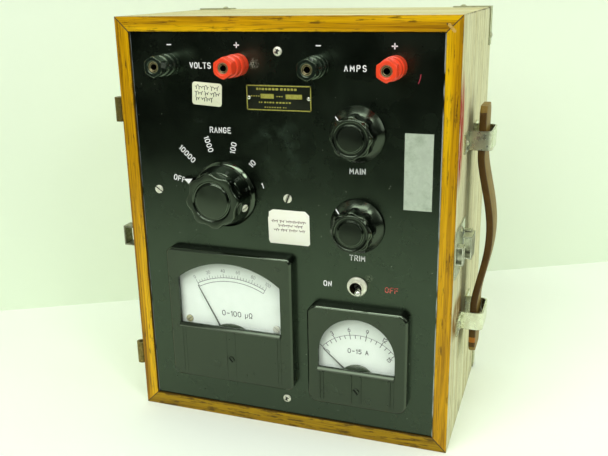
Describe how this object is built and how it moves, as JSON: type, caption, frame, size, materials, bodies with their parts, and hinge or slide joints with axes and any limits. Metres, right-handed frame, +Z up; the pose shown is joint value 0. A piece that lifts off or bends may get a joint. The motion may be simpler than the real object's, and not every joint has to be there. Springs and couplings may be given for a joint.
{
  "type": "microhm meter",
  "caption": "Portable low-resistance meter in a wooden case: black panel with moving-coil meters, binding posts, range switch, rheostat knobs, toggle switch and a leather strap handle.",
  "frame": {"origin": "middle of the case's bottom face", "axes": "+X to the right seen from the front, +Y from the front panel to the back, +Z up"},
  "size_m": [0.3423, 0.2173, 0.3838],
  "materials": {
    "oak": "golden oak under gloss varnish",
    "plain_wood": "plain wood",
    "hardware": "dull plated sheet steel",
    "hinge_metal": "tarnished brass",
    "leather": "brown harness leather",
    "panel_black": "black laminate, satin gloss",
    "nickel": "nickel plated",
    "plate_black": "black enamelled brass plate",
    "tag_metal": "pale satin aluminium",
    "post_black": "black moulded plastic",
    "post_red": "red moulded plastic",
    "post_metal": "nickel plated brass",
    "knob_black": "polished black phenolic",
    "bush_brass": "turned brass",
    "phenolic": "brown phenolic board",
    "spools": "varnished wire on a spool",
    "ceramic": "unglazed ceramic with wire",
    "cover_black": "black moulded phenolic",
    "can_black": "black moulded phenolic",
    "glass": "clear flat glass",
    "dial": "white enamelled metal",
    "needle": "blackened aluminium",
    "magnet": "cast magnet alloy",
    "cell": "printed card sleeve",
    "lead": "rubber covered wire"
  },
  "bodies": {
    "case": {"case_top": "oak", "case_bottom": "oak", "case_left": "oak", "case_right": "oak", "case_back": "plain_wood", "panel_cleats": "plain_wood", "corner_straps": "hardware", "case_screws": "hardware", "stay_loop": "hardware", "handle_loops": "hardware", "latch_plate": "hardware", "hinge_halves": "hinge_metal", "front_panel": "panel_black", "panel_screws": "nickel", "toggle_bush": "nickel", "cell_clamp": "nickel", "nameplate": "plate_black", "asset_tag": "tag_metal", "black_post_bases": "post_black", "red_post_bases": "post_red", "post_studs": "post_metal", "terminal_nuts": "post_metal", "shaft_bushes": "bush_brass", "deck_hardware": "bush_brass", "range_deck": "phenolic", "toggle_body": "phenolic", "range_resistors": "spools", "coarse_rheostat": "ceramic", "fine_rheostat": "ceramic", "ohm_cover": "cover_black", "amp_cover": "cover_black", "meter_cans": "can_black", "meter_glasses": "glass", "meter_dials": "dial", "meter_magnets": "magnet", "dry_cells": "cell", "wiring": "lead"},
    "strap": {"handle_strap": "leather"},
    "flap": {"latch_flap": "hardware"},
    "range_control": {"range_knob": "knob_black", "range_set_screw": "nickel", "range_shaft": "nickel", "range_arm": "bush_brass"},
    "coarse_control": {"coarse_knob": "knob_black", "coarse_shaft": "nickel"},
    "fine_control": {"fine_knob": "knob_black", "fine_shaft": "nickel"},
    "toggle": {"toggle_lever": "nickel"},
    "ohm_movement": {"ohm_pointer": "needle"},
    "amp_movement": {"amp_pointer": "needle"},
    "ohm_adjuster": {"ohm_zero": "cover_black"},
    "amp_adjuster": {"amp_zero": "cover_black"},
    "voltage_minus_nut": {"voltage_minus_insert": "post_metal"},
    "voltage_minus_grip": {"voltage_minus_cap": "post_black"},
    "voltage_plus_nut": {"voltage_plus_insert": "post_metal"},
    "voltage_plus_grip": {"voltage_plus_cap": "post_red"},
    "current_minus_nut": {"current_minus_insert": "post_metal"},
    "current_minus_grip": {"current_minus_cap": "post_black"},
    "current_plus_nut": {"current_plus_insert": "post_metal"},
    "current_plus_grip": {"current_plus_cap": "post_red"}
  },
  "joints": [
    {"name": "voltage_minus_travel", "type": "slide", "parent": "case", "child": "voltage_minus_nut", "axis": [0, -1, 0], "range_m": [0, 0.005]},
    {"name": "voltage_minus_turn", "type": "hinge", "parent": "voltage_minus_nut", "child": "voltage_minus_grip", "pos_m": [-0.1, -0.0968, 0.341], "axis": [0, -1, 0], "range_deg": [0, 1801]},
    {"name": "voltage_plus_travel", "type": "slide", "parent": "case", "child": "voltage_plus_nut", "axis": [0, -1, 0], "range_m": [0, 0.005]},
    {"name": "voltage_plus_turn", "type": "hinge", "parent": "voltage_plus_nut", "child": "voltage_plus_grip", "pos_m": [-0.036, -0.0968, 0.341], "axis": [0, -1, 0], "range_deg": [0, 1801]},
    {"name": "current_minus_travel", "type": "slide", "parent": "case", "child": "current_minus_nut", "axis": [0, -1, 0], "range_m": [0, 0.005]},
    {"name": "current_minus_turn", "type": "hinge", "parent": "current_minus_nut", "child": "current_minus_grip", "pos_m": [0.036, -0.0968, 0.341], "axis": [0, -1, 0], "range_deg": [0, 1801]},
    {"name": "current_plus_travel", "type": "slide", "parent": "case", "child": "current_plus_nut", "axis": [0, -1, 0], "range_m": [0, 0.005]},
    {"name": "current_plus_turn", "type": "hinge", "parent": "current_plus_nut", "child": "current_plus_grip", "pos_m": [0.1, -0.0968, 0.341], "axis": [0, -1, 0], "range_deg": [0, 1801]},
    {"name": "range_turn", "type": "hinge", "parent": "case", "child": "range_control", "pos_m": [-0.054, -0.0915, 0.2265], "axis": [0, 1, 0], "range_deg": [0, 150]},
    {"name": "coarse_turn", "type": "hinge", "parent": "case", "child": "coarse_control", "pos_m": [0.069, -0.0915, 0.28599], "axis": [0, 1, 0], "range_deg": [-92, 208]},
    {"name": "fine_turn", "type": "hinge", "parent": "case", "child": "fine_control", "pos_m": [0.069, -0.0915, 0.2065], "axis": [0, 1, 0], "range_deg": [-92, 208]},
    {"name": "toggle_throw", "type": "hinge", "parent": "case", "child": "toggle", "pos_m": [0.069, -0.0915, 0.151], "axis": [0, 0, -1], "range_deg": [0, 34]},
    {"name": "ohm_swing", "type": "hinge", "parent": "case", "child": "ohm_movement", "pos_m": [-0.052, -0.0915, 0.0738], "axis": [0, 1, 0], "range_deg": [0, 56], "stiffness_Nm_per_rad": 0.003},
    {"name": "amp_swing", "type": "hinge", "parent": "case", "child": "amp_movement", "pos_m": [0.0705, -0.0915, 0.06], "axis": [0, 1, 0], "range_deg": [0, 97], "stiffness_Nm_per_rad": 0.003},
    {"name": "ohm_zero_turn", "type": "hinge", "parent": "case", "child": "ohm_adjuster", "pos_m": [-0.052, -0.0915, 0.0663], "axis": [0, 1, 0], "range_deg": [-25, 25]},
    {"name": "amp_zero_turn", "type": "hinge", "parent": "case", "child": "amp_adjuster", "pos_m": [0.0705, -0.0915, 0.0525], "axis": [0, 1, 0], "range_deg": [-25, 25]},
    {"name": "flap_swing", "type": "hinge", "parent": "case", "child": "flap", "pos_m": [0.1578, -0.049, 0.187], "axis": [0, 0, 1], "range_deg": [0, 75]},
    {"name": "strap_slide", "type": "slide", "parent": "case", "child": "strap", "axis": [0, 0, 1], "range_m": [-0.006, 0.006]}
  ],
  "couplings": [
    {"joint": "voltage_minus_turn", "follows": "voltage_minus_travel", "rad_per_m": 6283.2},
    {"joint": "voltage_plus_turn", "follows": "voltage_plus_travel", "rad_per_m": 6283.2},
    {"joint": "current_minus_turn", "follows": "current_minus_travel", "rad_per_m": 6283.2},
    {"joint": "current_plus_turn", "follows": "current_plus_travel", "rad_per_m": 6283.2}
  ]
}
